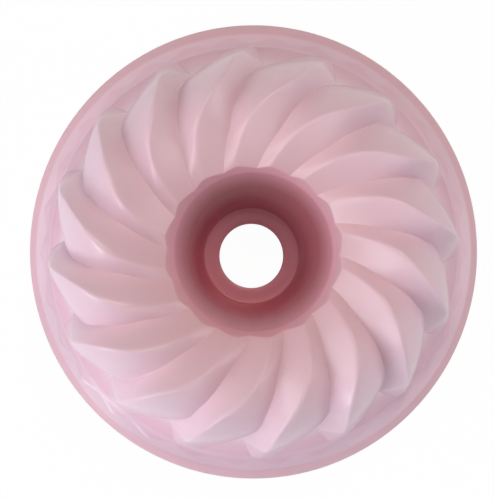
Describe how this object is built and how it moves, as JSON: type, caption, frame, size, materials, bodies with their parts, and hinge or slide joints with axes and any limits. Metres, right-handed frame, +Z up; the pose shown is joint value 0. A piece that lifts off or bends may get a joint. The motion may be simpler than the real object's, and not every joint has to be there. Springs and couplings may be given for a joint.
{
  "type": "silicone baking mould",
  "caption": "Round swirled ring-cake baking mould in soft silicone, with fluted wall, hollow centre funnel and a flanged rim that it stands on.",
  "frame": {"origin": "middle of the circle that the rim stands on, at table height", "axes": "+Z up through the middle of the funnel, from the rim to the crown; +X towards the right of the picture and +Y towards its top"},
  "size_m": [0.252, 0.252, 0.086],
  "materials": {
    "silicone": "satin moulded silicone, pale pink"
  },
  "bodies": {
    "root": {"rim_skirt": "silicone", "flange": "silicone", "zigzag_band": "silicone", "flute_01": "silicone", "flute_02": "silicone", "flute_03": "silicone", "flute_04": "silicone", "flute_05": "silicone", "flute_06": "silicone", "flute_07": "silicone", "flute_08": "silicone", "flute_09": "silicone", "flute_10": "silicone", "flute_11": "silicone", "flute_12": "silicone", "flute_13": "silicone", "flute_14": "silicone", "flute_15": "silicone", "flute_16": "silicone", "collar": "silicone", "funnel": "silicone", "throat_lip": "silicone"}
  },
  "joints": []
}
